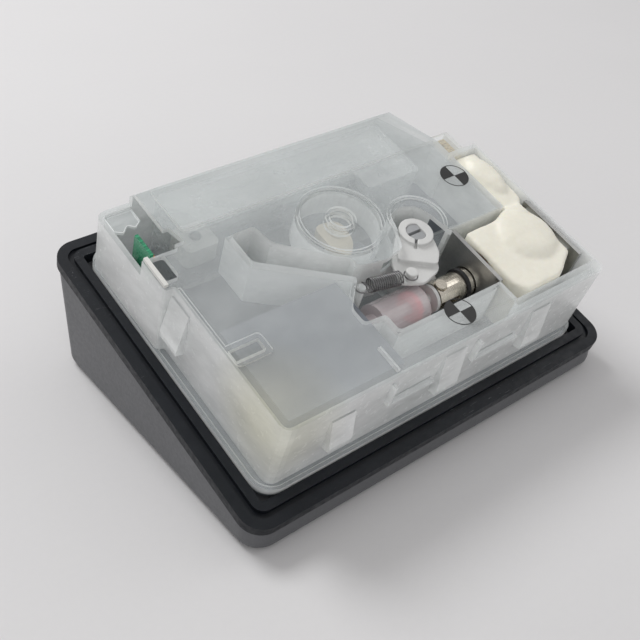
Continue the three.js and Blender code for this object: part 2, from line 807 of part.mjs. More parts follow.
function leverShaft() {
  const round = post(PIVOT_X, PIVOT_Y, SHAFT_RADIUS, -9.6, 12.4, 24);
  const bottom = keyedShaft(0, -13.6, -9);
  const top = keyedShaft(0, 12, 29.2);
  const groove = tube(PIVOT_X, PIVOT_Y, 6, SHAFT_RADIUS - 1.1, 0.8, 2.6, 24);
  const screwSlot = block(PIVOT_X - 5, PIVOT_X + 5, PIVOT_Y - 0.6, PIVOT_Y + 0.6, 27.6, 31);
  return cut(join(round, bottom, top), groove, screwSlot);
}

const shaftSeal = () =>
  tube(PIVOT_X, PIVOT_Y, SHAFT_RADIUS + 0.15, SHAFT_RADIUS - 0.95, 1, 2.4, 24);

function latchArm() {
  const hub = post(PIVOT_X, PIVOT_Y, 5.6, -13.6, -10, 24);
  const arm = prism(
    softPolygon(
      [
        [20, -1],
        [-4, -10.4],
        [-9.4, -11.2],
        [-9.4, -13.6],
        [-4.6, -14],
        [20, -11],
      ],
      1.5,
    ),
    -12.6,
    -10.2,
    3,
  );
  return cut(join(hub, arm), keyedShaft(0.12, -16, -8));
}

// ---- Lid of the detergent cup, with its hinge ----
function detergentLid() {
  const length = LID.right - LID.left;
  const width = LID.far - LID.near;
  const midX = (LID.left + LID.right) / 2;
  const midY = (LID.near + LID.far) / 2;
  const plate = prism(roundedRect(midX, midY, length, width, 2.5), LID.base, LID.top);
  const press = prism(roundedRect(midX + 12, midY, 20, 26, 4), LID.base - 1, LID.base + 0.7);
  const catchTab = join(
    block(-12.6, -11.2, CATCH.near, CATCH.far, LID.top - 0.5, CATCH.top),
    block(-12.6, -10.4, CATCH.near, CATCH.far, CATCH.top - 1.4, CATCH.top),
  );
  const knuckles = [-35, -12.5].map((y) =>
    join(
      rod([HINGE.x, y - 4, HINGE.z], [HINGE.x, y + 4, HINGE.z], HINGE.knuckle, 16),
      block(HINGE.x, LID.left + 1, y - 4, y + 4, LID.base + 0.5, LID.top),
    ),
  );
  const bore = rod([HINGE.x, -60, HINGE.z], [HINGE.x, 20, HINGE.z], HINGE.bore, 12);
  return cut(join(cut(plate, press), catchTab, ...knuckles), bore);
}

const lidHingePin = () =>
  rod([HINGE.x, LID.near + 0.4, HINGE.z], [HINGE.x, LID.far - 0.4, HINGE.z], HINGE.pin, 12);

function lidSpring() {
  return cut(
    rod([HINGE.x, -28, HINGE.z], [HINGE.x, -19.5, HINGE.z], 1.3, 16),
    rod([HINGE.x, -29, HINGE.z], [HINGE.x, -18, HINGE.z], 0.8, 16),
  );
}

function cupSeal() {
  const outer = cupBlock(CUP.wall, -60, 20);
  const inner = cupBlock(0.3, -61, 21);
  const layer = carried(block(-BEYOND, BEYOND, -BEYOND, BEYOND, LID.top + 0.15, FACE - 0.25), TO_REAR);
  return carried(cut(outer, inner).intersect(layer), TO_ROW);
}

// ---- Rinse-aid cap, dosage dial, float and level lens ----
function rinseCap() {
  const disc = post(FILLER_X, FILLER_Y, 17.2, 0.7, 3, 40);
  const well = post(FILLER_X, FILLER_Y, 13, -1, 1.9, 32);
  const grip = block(FILLER_X - 13.2, FILLER_X + 13.2, FILLER_Y - 2.2, FILLER_Y + 2.2, 0.7, 2.4);
  const plug = cut(
    post(FILLER_X, FILLER_Y, 13.2, 2.8, 9.6, 32),
    post(FILLER_X, FILLER_Y, 11, 4.6, 12, 32),
    tube(FILLER_X, FILLER_Y, 20, 12.3, 5.2, 7.2, 32),
  );
  return join(cut(disc, well), grip, plug);
}

const capSeal = () => tube(FILLER_X, FILLER_Y, 13.9, 12.5, 5.4, 7, 32);

function dosageDial() {
  const disc = post(DIAL_X, DIAL_Y, 7.8, -28, -25, 28);
  const screwSlot = block(DIAL_X - 6, DIAL_X + 6, DIAL_Y - 0.9, DIAL_Y + 0.9, -29, -26.6);
  const stem = post(DIAL_X, DIAL_Y, 2.1, -25.4, 19.7, 16);
  return join(cut(disc, screwSlot), stem);
}

function dosageCam() {
  const cam = prism(
    softPolygon(
      [
        [DIAL_X + 4, DIAL_Y + 4],
        [DIAL_X - 6.5, DIAL_Y + 5.5],
        [DIAL_X - 6.5, DIAL_Y - 6],
        [DIAL_X - 3, DIAL_Y - 12],
        [DIAL_X + 3, DIAL_Y - 6],
      ],
      4,
    ),
    22.5,
    25.5,
    4,
  );
  const hub = post(DIAL_X, DIAL_Y, 3.4, 20, 26, 20);
  return join(cam, hub);
}

function levelFloat() {
  const body = prism(roundedRect(-39, 37, 13, 12, 2), 4, 12, 3);
  return cut(body, post(-39, 37, 2.2, 9, 14, 16));
}

const floatMagnet = () => post(-39, 37, 1.9, 9.3, 12.6, 16);

const levelLens = () =>
  join(post(-38, 34, 5, 0.8, 4, 24), post(-38, 34, 6.6, 5.7, 7, 24), post(-38, 34, 4.6, 3.5, 6, 24));

// ---- Level sensor in the left pocket ----
const sensorBoard = () => block(-67.2, -66, 22.2, 31.6, 16.4, 30.2);

const reedSwitch = () => rod([-64.9, 23.2, 26.4], [-64.9, 30.2, 26.4], 0.8, 12);

function sensorHeader() {
  const bar = block(-68.9, -67.5, 22.8, 30.8, 16.4, 19);
  const pins = [24.4, 26.8, 29.2].map((y) => block(-68.6, -68, y - 0.3, y + 0.3, 18.5, 22.4));
  return join(bar, ...pins);
}

const sensorHolder = () =>
  block(-70.8, -69.4, 8.4, 20.6, COVER_TOP + 0.3, COVER_TOP + 1.5);

function returnSpring() {
  const fixedHook = new THREE.Vector2(...SPRING_POST);
  const leverHook = new THREE.Vector2(...SPRING_PEG);
  const start = fixedHook.clone().lerp(leverHook, 0.21);
  const end = fixedHook.clone().lerp(leverHook, 0.85);
  return rod([start.x, start.y, SPRING_Z], [end.x, end.y, SPRING_Z], 2.2, 16);
}

addPart(front, "front_bezel", frontBezel(), GREY, 0.45);
addPart(front, "detergent_lid", detergentLid(), GREY, 0.45);
addPart(front, "lid_hinge_pin", lidHingePin(), STEEL, 0.3, 1);
addPart(front, "lid_spring", lidSpring(), STEEL, 0.3, 1);
addPart(front, "cup_seal", cupSeal(), RUBBER, 0.7);
addPart(front, "rinse_cap", rinseCap(), GREY, 0.45);
addPart(front, "cap_seal", capSeal(), RUBBER, 0.7);
addPart(front, "level_lens", levelLens(), FROSTED, 0.1, 0, 0.5);
addPart(rear, "perimeter_seal", perimeterSeal(), RUBBER, 0.5);
addPart(rear, "inner_body", innerBody(), GREY, 0.5);
addPart(rear, "rear_housing", rearHousing(), FROSTED, 0.4, 0, 0.6);
addPart(rear, "rinse_reservoir", rinseReservoir(), FROSTED, 0.4, 0, 0.6);
addPart(rear, "solenoid_frame", solenoidFrame(), STEEL, 0.35, 1);
addPart(rear, "solenoid_back_plate", solenoidBackPlate(), STEEL, 0.35, 1);
addPart(rear, "coil_bobbin", coilBobbin(), WHITE, 0.5);
addPart(rear, "coil_winding", coilWinding(), 0xb87333, 0.4, 1);
addPart(rear, "coil_potting", coilPotting(), CREAM, 0.5);
addPart(rear, "fixed_core", fixedCore(), STEEL, 0.35, 1);
TERMINAL_LEVELS.forEach((level, i) => {
  addPart(rear, `coil_terminal_${i + 1}`, coilTerminal(level), BRASS, 0.3, 1);
});
addPart(rear, "valve_body", valveBody(), 0xeeeeee, 0.1, 0, 0.4);
addPart(rear, "valve_stem", valveStem(), WHITE, 0.5);
addPart(rear, "valve_seal", valveSeal(), 0xd8304a, 0.5);
addPart(rear, "plunger", plunger(), STEEL, 0.3, 1);
addPart(rear, "cross_pin", crossPin(), STEEL, 0.3, 1);
addPart(rear, "plunger_bumper", plungerBumper(), RUBBER, 0.7);
addPart(rear, "release_lever", releaseLever(), WHITE, 0.45);
addPart(rear, "lever_shaft", leverShaft(), GREY, 0.5);
addPart(rear, "shaft_seal", shaftSeal(), RUBBER, 0.7);
addPart(rear, "latch_arm", latchArm(), GREY, 0.5);
addPart(rear, "return_spring", returnSpring(), STEEL, 0.3, 1);
addPart(rear, "dosage_dial", dosageDial(), WHITE, 0.5);
addPart(rear, "dosage_cam", dosageCam(), 0xd8cdb0, 0.5);
addPart(rear, "level_float", levelFloat(), WHITE, 0.7);
addPart(rear, "float_magnet", floatMagnet(), 0x333333, 0.4, 1);
addPart(rear, "sensor_board", sensorBoard(), 0x0f7a4a, 0.4);
addPart(rear, "reed_switch", reedSwitch(), 0xd07828, 0.3);
addPart(rear, "sensor_header", sensorHeader(), 0x151515, 0.5);
addPart(rear, "sensor_holder", sensorHolder(), WHITE, 0.5);

export default dispenser;
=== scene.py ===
"""Looks of the dishwasher detergent and rinse-aid dispenser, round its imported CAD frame."""
import json
import math

import bpy
from mathutils import Matrix, Vector


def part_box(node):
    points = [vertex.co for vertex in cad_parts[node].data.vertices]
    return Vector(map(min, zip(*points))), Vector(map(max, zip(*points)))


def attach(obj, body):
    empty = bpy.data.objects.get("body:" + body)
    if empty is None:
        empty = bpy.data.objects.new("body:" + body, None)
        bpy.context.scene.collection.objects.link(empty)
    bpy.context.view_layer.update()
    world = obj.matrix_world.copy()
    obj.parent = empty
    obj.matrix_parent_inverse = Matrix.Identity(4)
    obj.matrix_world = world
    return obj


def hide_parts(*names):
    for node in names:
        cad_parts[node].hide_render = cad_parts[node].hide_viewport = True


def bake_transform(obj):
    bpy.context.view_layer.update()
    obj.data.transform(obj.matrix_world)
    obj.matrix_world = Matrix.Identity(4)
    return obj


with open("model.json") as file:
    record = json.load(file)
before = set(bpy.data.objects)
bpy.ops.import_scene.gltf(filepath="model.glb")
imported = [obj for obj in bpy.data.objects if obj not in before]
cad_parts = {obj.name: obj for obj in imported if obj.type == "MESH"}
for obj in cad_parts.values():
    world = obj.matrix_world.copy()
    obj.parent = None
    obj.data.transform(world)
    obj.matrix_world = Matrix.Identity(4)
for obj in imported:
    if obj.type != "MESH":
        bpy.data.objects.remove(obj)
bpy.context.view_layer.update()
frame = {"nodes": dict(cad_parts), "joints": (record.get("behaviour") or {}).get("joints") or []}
nodes = frame["nodes"]
joints = {joint["name"]: joint for joint in frame["joints"]}
MM = 0.001

# ---- The tilted frame of the rear half, from the lever's joint ----
LEVER_PIVOT = (20.0, -6.0, 10.0)  # the joint's place in the tilted frame, in millimetres
REAR_UP = Vector(joints["lever_turn"]["axis"]).normalized()
REAR_X = Vector((1, 0, 0))
REAR_Y = REAR_UP.cross(REAR_X).normalized()
REAR_ORIGIN = (
    Vector(joints["lever_turn"]["pos_m"])
    - LEVER_PIVOT[0] * MM * REAR_X
    - LEVER_PIVOT[1] * MM * REAR_Y
    - LEVER_PIVOT[2] * MM * REAR_UP
)


def rear(x, y, z):
    """A point of the tilted frame, in millimetres, as a point of the row frame in metres."""
    return REAR_ORIGIN + MM * (x * REAR_X + y * REAR_Y + z * REAR_UP)


# ---- Camera ----
CAMERA_ANGLES = (-40.764, 37.222, 3.221)  # azimuth, elevation and roll, in degrees
CAMERA_TARGET = Vector((-0.018397, -0.011740, 0.032985))
CAMERA_DISTANCE = 0.326141


def make_camera():
    azimuth, elevation, roll = (math.radians(angle) for angle in CAMERA_ANGLES)
    back = Vector(
        (
            math.sin(azimuth) * math.cos(elevation),
            -math.cos(azimuth) * math.cos(elevation),
            math.sin(elevation),
        )
    )
    level = Vector((math.cos(azimuth), math.sin(azimuth), 0))
    up = back.cross(level)
    right = math.cos(roll) * level + math.sin(roll) * up
    top = math.cos(roll) * up - math.sin(roll) * level
    place = Matrix((right, top, back)).transposed().to_4x4()
    place.translation = CAMERA_TARGET + CAMERA_DISTANCE * back
    data = bpy.data.cameras.new("camera")
    data.lens = 54.81
    data.sensor_width = 36
    data.clip_start = 0.01
    camera = bpy.data.objects.new("camera", data)
    camera.matrix_world = place
    bpy.context.scene.collection.objects.link(camera)
    bpy.context.scene.camera = camera


make_camera()


# How upright the two faces are that a bevel of two segments makes on a square edge.
RIM_LEANS = (0.924, 0.383)


# ---- Node helpers ----
class Look:
    """A Principled material that is built up by chained calls."""

    def __init__(self, name, **sockets):
        self.material = bpy.data.materials.new(name)
        self.material.use_nodes = True
        self.tree = self.material.node_tree
        self.shader = self.tree.nodes["Principled BSDF"]
        self.bumped = None
        for socket, value in sockets.items():
            self.shader.inputs[socket.replace("_", " ")].default_value = value
        self.place = self.tree.nodes.new("ShaderNodeTexCoord").outputs["Object"]

    def node(self, kind, **settings):
        made = self.tree.nodes.new(kind)
        for key, value in settings.items():
            setattr(made, key, value)
        return made

    def link(self, source, target):
        self.tree.links.new(source, target)

    def mapped(self, scale):
        """Object coordinates, scaled along each axis."""
        mapping = self.node("ShaderNodeMapping")
        mapping.inputs["Scale"].default_value = scale
        self.link(self.place, mapping.inputs["Vector"])
        return mapping.outputs["Vector"]

    def noise(self, scale, detail=3.0, rough=0.55, vector=None, distortion=0.0):
        made = self.node("ShaderNodeTexNoise")
        made.inputs["Scale"].default_value = scale
        made.inputs["Detail"].default_value = detail
        made.inputs["Roughness"].default_value = rough
        made.inputs["Distortion"].default_value = distortion
        self.link(vector or self.place, made.inputs["Vector"])
        return made.outputs["Fac"]

    def wave(self, scale, direction, distortion):
        made = self.node("ShaderNodeTexWave", bands_direction=direction)
        made.inputs["Scale"].default_value = scale
        made.inputs["Distortion"].default_value = distortion
        self.link(self.place, made.inputs["Vector"])
        return made.outputs["Fac"]

    def ranged(self, value, low, high, to_low=0.0, to_high=1.0):
        made = self.node("ShaderNodeMapRange")
        made.inputs["From Min"].default_value = low
        made.inputs["From Max"].default_value = high
        made.inputs["To Min"].default_value = to_low
        made.inputs["To Max"].default_value = to_high
        self.link(value, made.inputs["Value"])
        return made.outputs["Result"]

    def math(self, operation, a, b):
        made = self.node("ShaderNodeMath", operation=operation)
        for socket, value in zip(made.inputs, (a, b)):
            if isinstance(value, (int, float)):
                socket.default_value = value
            else:
                self.link(value, socket)
        return made.outputs[0]

    def rims(self, lean):
        """1 on the narrow faces that round an edge, found by how far they lean."""
        first, second = (
            self.math("ABSOLUTE", self.math("SUBTRACT", lean, rim_lean), 0.0)
            for rim_lean in RIM_LEANS
        )
        return self.ranged(self.math("MINIMUM", first, second), 0.055, 0.035)

    def mix(self, factor, a, b):
        made = self.node("ShaderNodeMix", data_type="RGBA")
        self.link(factor, made.inputs["Factor"])
        for socket, value in ((made.inputs[6], a), (made.inputs[7], b)):
            if isinstance(value, tuple):
                socket.default_value = (*value, 1)
            else:
                self.link(value, socket)
        return made.outputs[2]

    def color(self, value):
        self.link(value, self.shader.inputs["Base Color"])
        return self

    def rough(self, value):
        self.link(value, self.shader.inputs["Roughness"])
        return self

    def bump(self, height, strength, depth):
        made = self.node("ShaderNodeBump")
        made.inputs["Strength"].default_value = strength
        made.inputs["Distance"].default_value = depth
        self.link(height, made.inputs["Height"])
        if self.bumped:
            self.link(self.bumped, made.inputs["Normal"])
        self.bumped = made.outputs["Normal"]
        self.link(self.bumped, self.shader.inputs["Normal"])
        return self

    def blotched(self, dark, light, scale=70, fine=1600):
        """Base colour that drifts between two near tones, with a finer mottle on top."""
        broad = self.ranged(self.noise(scale, 4), 0.3, 0.7)
        mottle = self.ranged(self.noise(fine, 2), 0.25, 0.75, 0.0, 0.35)
        return self.mix(self.math("ADD", self.math("MULTIPLY", broad, 0.65), mottle), dark, light)


# ---- Materials ----
def grey_moulding(name, dark, light):
    look = Look(name, Roughness=0.46)
    look.color(look.blotched(dark, light, 24, 2600))
    look.rough(look.ranged(look.noise(900, 3), 0.3, 0.7, 0.38, 0.52))
    look.bump(look.noise(2600, 3, 0.6), 0.22, 0.00012)
    look.bump(look.noise(26, 2), 0.10, 0.002)
    return look.material


def seal_rubber():
    look = Look("seal_rubber", Roughness=0.5, Specular_IOR_Level=0.32)
    base = look.blotched((0.0035, 0.0050, 0.0080), (0.0080, 0.0105, 0.0150), 60, 2200)
    specks = look.ranged(look.noise(2600, 1, 0.4), 0.70, 0.76)
    patches = look.ranged(look.noise(45, 3), 0.52, 0.66)
    corner = look.node("ShaderNodeSeparateXYZ")
    look.link(look.place, corner.inputs[0])
    left = look.ranged(corner.outputs["X"], -0.02, -0.075, 0.12, 1.0)
    far = look.ranged(corner.outputs["Y"], -0.03, 0.05, 0.15, 1.0)
    far_left = look.math("MULTIPLY", left, far)
    dust = look.math("MULTIPLY", look.math("MULTIPLY", specks, patches), far_left)
    scratches = look.ranged(look.noise(300, 2, 0.5, look.mapped((1, 9, 9))), 0.66, 0.72, 0.0, 0.28)
    scuffs = look.math("MULTIPLY", scratches, patches)
    marks = look.math("MINIMUM", look.math("ADD", dust, scuffs), 1.0)
    look.color(look.mix(marks, base, (0.42, 0.43, 0.45)))
    look.rough(look.ranged(look.noise(500, 4), 0.3, 0.7, 0.36, 0.58))
    look.bump(look.noise(1800, 3), 0.25, 0.0001)
    look.bump(look.noise(130, 2), 0.15, 0.0006)
    return look.material


def frosted_pp(name, top, wall):
    """Thin milky plastic. Faces that lie flat, as the rear face does, show what is under them;
    upright walls, whose whole height scatters the light, are less see-through. The two kinds of
    face take separate colours, painted light and shade by which way a face lies, and the narrow
    faces that round an edge get a painted white highlight. top and wall are (opacity, dark colour,
    light colour)."""
    look = Look(name, Roughness=0.3, IOR=1.49, Specular_IOR_Level=0.6)
    facing = look.node("ShaderNodeVectorMath", operation="DOT_PRODUCT")
    look.link(look.node("ShaderNodeNewGeometry").outputs["True Normal"], facing.inputs[0])
    facing.inputs[1].default_value = REAR_UP
    lean = look.math("ABSOLUTE", facing.outputs["Value"], 0.0)
    flat = look.ranged(lean, 0.45, 0.97)
    haze = look.ranged(look.noise(38, 4, 0.6, look.mapped((1, 1, 2.4))), 0.35, 0.68, 0.82, 1.2)
    opacity = look.math("MULTIPLY", look.ranged(flat, 0.0, 1.0, wall[0], top[0]), haze)
    # The narrow faces that round an edge are found here. Below they are made near opaque and near
    # white, a painted highlight along every edge.
    rim = look.rims(lean)
    rim_highlight_opacity = look.math("MULTIPLY", rim, 0.8)
    opacity = look.math("MAXIMUM", look.math("MINIMUM", opacity, 1.0), rim_highlight_opacity)
    look.link(opacity, look.shader.inputs["Alpha"])
    # Flat faces and upright walls of the one plastic get separate colours: painted light and shade
    # by which way a face lies.
    wall_color_painted_light = look.blotched(wall[1], wall[2], 30, 300)
    top_color_painted_light = look.blotched(top[1], top[2], 26, 260)
    color = look.mix(flat, wall_color_painted_light, top_color_painted_light)
    aged = look.node("ShaderNodeVectorMath", operation="DISTANCE")
    look.link(look.place, aged.inputs[0])
    aged.inputs[1].default_value = rear(-64, -40, 22)
    tint = look.ranged(aged.outputs["Value"], 0.024, 0.006, 0.0, 0.7)
    color = look.mix(tint, color, (0.93, 0.92, 0.74))
    # Painted highlight: the faces that round an edge turn near white.
    look.color(look.mix(rim, color, (0.97, 1.0, 1.0)))
    look.rough(look.ranged(look.noise(420, 4), 0.3, 0.7, 0.16, 0.30))
    look.bump(look.noise(60, 3), 0.3, 0.0012)
    look.bump(look.noise(260, 2), 0.08, 0.0003)
    return look.material


def satin_plastic(name, dark, light, rough=(0.32, 0.46), **sockets):
    look = Look(name, Roughness=0.4, **sockets)
    look.color(look.blotched(dark, light, 110, 2400))
    look.rough(look.ranged(look.noise(700, 3), 0.3, 0.7, *rough))
    look.bump(look.noise(1400, 3), 0.14, 0.0001)
    return look.material


def clear_plastic():
    look = Look(
        "clear_plastic",
        Roughness=0.06,
        IOR=1.49,
        Alpha=0.34,
        Specular_IOR_Level=0.8,
    )
    look.color(look.blotched((0.86, 0.76, 0.78), (0.95, 0.89, 0.90), 80, 700))
    look.rough(look.ranged(look.noise(160, 3), 0.3, 0.7, 0.04, 0.14))
    look.bump(look.noise(90, 2), 0.12, 0.0006)
    return look.material


def turned_metal(name, dark, light, rough, marks="X"):
    """Bright metal with fine marks, which run round the X axis as on a turned part. Where marks
    is "Y" they run along X instead, as on a drawn strip."""
    look = Look(name, Metallic=1.0, Roughness=0.25)
    look.color(look.blotched(dark, light, 130, 3000))
    lines = look.noise(400, 4, 0.6, look.mapped((9, 0.6, 0.6) if marks == "X" else (0.6, 9, 9)))
    look.rough(look.ranged(lines, 0.3, 0.7, *rough))
    look.bump(lines, 0.12, 0.00006)
    return look.material


def plated_sheet():
    look = Look("plated_plate", Metallic=1.0, Roughness=0.36)
    look.color(look.blotched((0.36, 0.37, 0.37), (0.56, 0.56, 0.54), 90, 1500))
    look.rough(look.ranged(look.noise(260, 5, 0.65), 0.3, 0.7, 0.26, 0.46))
    look.bump(look.noise(900, 3), 0.1, 0.00008)
    return look.material


def cast_resin():
    look = Look("potting_cream", Roughness=0.42, Subsurface_Weight=0.12)
    look.shader.inputs["Subsurface Radius"].default_value = (0.002, 0.0016, 0.001)
    look.color(look.blotched((0.80, 0.775, 0.66), (0.90, 0.88, 0.78), 55, 600))
    look.rough(look.ranged(look.noise(240, 4), 0.3, 0.7, 0.30, 0.5))
    look.bump(look.noise(120, 3, 0.5, distortion=0.6), 0.35, 0.0008)
    look.bump(look.noise(1100, 3), 0.15, 0.0001)
    return look.material


def wound_wire():
    look = Look("copper_wire", Metallic=1.0, Roughness=0.35)
    turns = look.wave(520, "X", 0.4)
    # Painted shade and painted highlight: the copper goes dark in the grooves between turns and
    # light on their crowns, along the same bands that bump the turns.
    look.color(look.mix(turns, (0.30, 0.11, 0.045), (0.72, 0.33, 0.14)))
    look.bump(turns, 0.6, 0.0002)
    look.rough(look.ranged(look.noise(800, 3), 0.3, 0.7, 0.25, 0.45))
    return look.material


def board_laminate():
    look = Look("board_green", Roughness=0.28, Coat_Weight=0.4, Coat_Roughness=0.15)
    cells = look.node("ShaderNodeTexBrick")
    cells.inputs["Scale"].default_value = 420
    cells.inputs["Mortar Size"].default_value = 0.035
    cells.inputs["Color1"].default_value = (0.012, 0.17, 0.085, 1)
    cells.inputs["Color2"].default_value = (0.018, 0.22, 0.11, 1)
    cells.inputs["Mortar"].default_value = (0.05, 0.36, 0.18, 1)
    parts = look.node("ShaderNodeSeparateXYZ")
    joined = look.node("ShaderNodeCombineXYZ")
    look.link(look.place, parts.inputs[0])
    look.link(parts.outputs["Y"], joined.inputs["X"])
    look.link(parts.outputs["Z"], joined.inputs["Y"])
    look.link(joined.outputs[0], cells.inputs["Vector"])
    look.color(cells.outputs["Color"])
    look.rough(look.ranged(look.noise(600, 3), 0.3, 0.7, 0.22, 0.36))
    look.bump(cells.outputs["Fac"], 0.15, 0.00005)
    return look.material


GREY = grey_moulding("bezel_grey", (0.094, 0.097, 0.104), (0.122, 0.125, 0.133))
INNER_GREY = grey_moulding("inner_grey", (0.135, 0.150, 0.172), (0.185, 0.200, 0.225))
RUBBER = seal_rubber()
# Each frosted plastic's top and wall colours paint light and shade: FROSTED's walls are painted
# lighter than its top, TANK's walls darker.
FROSTED = frosted_pp(
    "frosted_pp",
    (0.22, (0.82, 0.87, 0.88), (0.92, 0.96, 0.96)),
    (0.68, (0.93, 0.96, 0.95), (0.99, 1.0, 1.0)),
)
TANK = frosted_pp(
    "tank_pp",
    (0.26, (0.88, 0.92, 0.90), (0.95, 0.97, 0.96)),
    (0.30, (0.82, 0.87, 0.86), (0.92, 0.95, 0.94)),
)
CLEAR = clear_plastic()
WHITE = satin_plastic(
    "lever_white",
    (0.60, 0.605, 0.595),
    (0.70, 0.705, 0.695),
    Subsurface_Weight=0.1,
)
WHITE.node_tree.nodes["Principled BSDF"].inputs["Subsurface Radius"].default_value = (0.002,) * 3
SHAFT_GREY = satin_plastic("shaft_grey", (0.30, 0.31, 0.32), (0.40, 0.41, 0.42))
BOBBIN = satin_plastic("bobbin_white", (0.66, 0.66, 0.63), (0.80, 0.80, 0.77))
RED = satin_plastic("valve_red", (0.72, 0.010, 0.04), (0.92, 0.03, 0.08), (0.3, 0.45))
BLACK_RUBBER = satin_plastic(
    "black_rubber",
    (0.010, 0.010, 0.011),
    (0.024, 0.024, 0.026),
    (0.5, 0.7),
)
BLACK_PLASTIC = satin_plastic("black_plastic", (0.012, 0.012, 0.013), (0.03, 0.03, 0.03))
NICKEL = turned_metal("nickel_steel", (0.62, 0.575, 0.49), (0.78, 0.73, 0.64), (0.18, 0.32))
PLATE = plated_sheet()
SPRING = turned_metal("spring_wire", (0.16, 0.16, 0.165), (0.30, 0.30, 0.30), (0.26, 0.38))
RESIN = cast_resin()
COPPER = wound_wire()
BRASS = turned_metal("brass_blade", (0.62, 0.47, 0.22), (0.78, 0.62, 0.34), (0.22, 0.36), "Y")
BEIGE = satin_plastic("cam_beige", (0.50, 0.44, 0.32), (0.62, 0.56, 0.43))
GREEN = board_laminate()
AMBER = satin_plastic("reed_amber", (0.50, 0.13, 0.02), (0.74, 0.26, 0.05), (0.12, 0.25))
FOAM = satin_plastic("float_foam", (0.62, 0.62, 0.58), (0.78, 0.78, 0.74), (0.6, 0.8))
FERRITE = satin_plastic("magnet_grey", (0.03, 0.03, 0.033), (0.07, 0.07, 0.075), (0.3, 0.5))

NODE_LOOKS = {
    "front_bezel": GREY,
    "detergent_lid": GREY,
    "rinse_cap": GREY,
    "lid_hinge_pin": NICKEL,
    "lid_spring": SPRING,
    "cup_seal": BLACK_RUBBER,
    "cap_seal": BLACK_RUBBER,
    "level_lens": CLEAR,
    "perimeter_seal": RUBBER,
    "inner_body": INNER_GREY,
    "rear_housing": FROSTED,
    "rinse_reservoir": TANK,
    "solenoid_frame": PLATE,
    "solenoid_back_plate": PLATE,
    "coil_bobbin": BOBBIN,
    "coil_winding": COPPER,
    "coil_potting": RESIN,
    "fixed_core": NICKEL,
    "coil_terminal_1": BRASS,
    "coil_terminal_2": BRASS,
    "valve_body": CLEAR,
    "valve_stem": WHITE,
    "valve_seal": RED,
    "plunger": NICKEL,
    "cross_pin": NICKEL,
    "plunger_bumper": BLACK_RUBBER,
    "release_lever": WHITE,
    "lever_shaft": SHAFT_GREY,
    "shaft_seal": BLACK_RUBBER,
    "latch_arm": INNER_GREY,
    "return_spring": SPRING,
    "dosage_dial": BOBBIN,
    "dosage_cam": BEIGE,
    "level_float": FOAM,
    "float_magnet": FERRITE,
    "sensor_board": GREEN,
    "reed_switch": AMBER,
    "sensor_header": BLACK_PLASTIC,
    "sensor_holder": BOBBIN,
}


# ---- Rounded edges and shading ----
def shading_group():
    """Smooth faces, with edges over the given angle kept sharp."""
    group = bpy.data.node_groups.new("shade_by_angle", "GeometryNodeTree")
    group.interface.new_socket("Geometry", in_out="INPUT", socket_type="NodeSocketGeometry")
    group.interface.new_socket("Geometry", in_out="OUTPUT", socket_type="NodeSocketGeometry")
    start = group.nodes.new("NodeGroupInput")
    end = group.nodes.new("NodeGroupOutput")
    faces = group.nodes.new("GeometryNodeSetShadeSmooth")
    edges = group.nodes.new("GeometryNodeSetShadeSmooth")
    edges.domain = "EDGE"
    edges.inputs["Shade Smooth"].default_value = False
    angle = group.nodes.new("GeometryNodeInputMeshEdgeAngle")
    sharp = group.nodes.new("ShaderNodeMath")
    sharp.operation = "GREATER_THAN"
    sharp.inputs[1].default_value = math.radians(38)
    group.links.new(angle.outputs["Unsigned Angle"], sharp.inputs[0])
    group.links.new(sharp.outputs[0], edges.inputs["Selection"])
    group.links.new(start.outputs[0], faces.inputs["Geometry"])
    group.links.new(faces.outputs[0], edges.inputs["Geometry"])
    group.links.new(edges.outputs[0], end.inputs[0])
    return group


SHADING = shading_group()
EDGE_WIDTHS = {
    "rear_housing": 0.35,
    "front_bezel": 0.5,
    "inner_body": 0.3,
    "perimeter_seal": 0.45,
    "detergent_lid": 0.4,
    "rinse_cap": 0.4,
    "solenoid_frame": 0.2,
    "solenoid_back_plate": 0.2,
    "plunger": 0.25,
    "valve_body": 0.3,
    "lever_shaft": 0.25,
    "dosage_cam": 0.3,
    "sensor_board": 0.08,
}


def finish_edges(obj, width):
    """Flat faces merged, then edges rounded by the width in millimetres."""
    merge = obj.modifiers.new("merge_flats", "DECIMATE")
    merge.decimate_type = "DISSOLVE"
    merge.angle_limit = math.radians(0.6)
    bevel = obj.modifiers.new("round_edges", "BEVEL")
    bevel.width = width * MM
    bevel.segments = 2
    bevel.limit_method = "ANGLE"
    bevel.angle_limit = math.radians(40)
    bevel.miter_outer = "MITER_ARC"
    shade = obj.modifiers.new("shade", "NODES")
    shade.node_group = SHADING
    weigh = obj.modifiers.new("weigh_normals", "WEIGHTED_NORMAL")
    weigh.keep_sharp = True


for name, look in NODE_LOOKS.items():
    for material_slot in nodes[name].material_slots:
        material_slot.material = look
    finish_edges(nodes[name], EDGE_WIDTHS.get(name, 0.15))


# ---- Mesh helpers ----
def piece(name, vertices, faces, look, body, smooth=True):
    mesh = bpy.data.meshes.new(name)
    mesh.from_pydata([tuple(v) for v in vertices], [], faces)
    mesh.update()
    mesh.polygons.foreach_set("use_smooth", [smooth] * len(mesh.polygons))
    mesh.materials.append(look)
    obj = bpy.data.objects.new(name, mesh)
    bpy.context.scene.collection.objects.link(obj)
    if body:
        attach(obj, body)
    return obj


def slab(outline, low, high):
    """Vertices and faces of a flat plate in the tilted frame, from an outline that runs
    counter-clockwise and the levels of its two faces."""
    vertices = [rear(x, y, z) for z in (low, high) for x, y in outline]
    count = len(outline)
    faces = [tuple(reversed(range(count))), tuple(range(count, 2 * count))]
    for i in range(count):
        j = (i + 1) % count
        faces.append((i, j, j + count, i + count))
    return vertices, faces


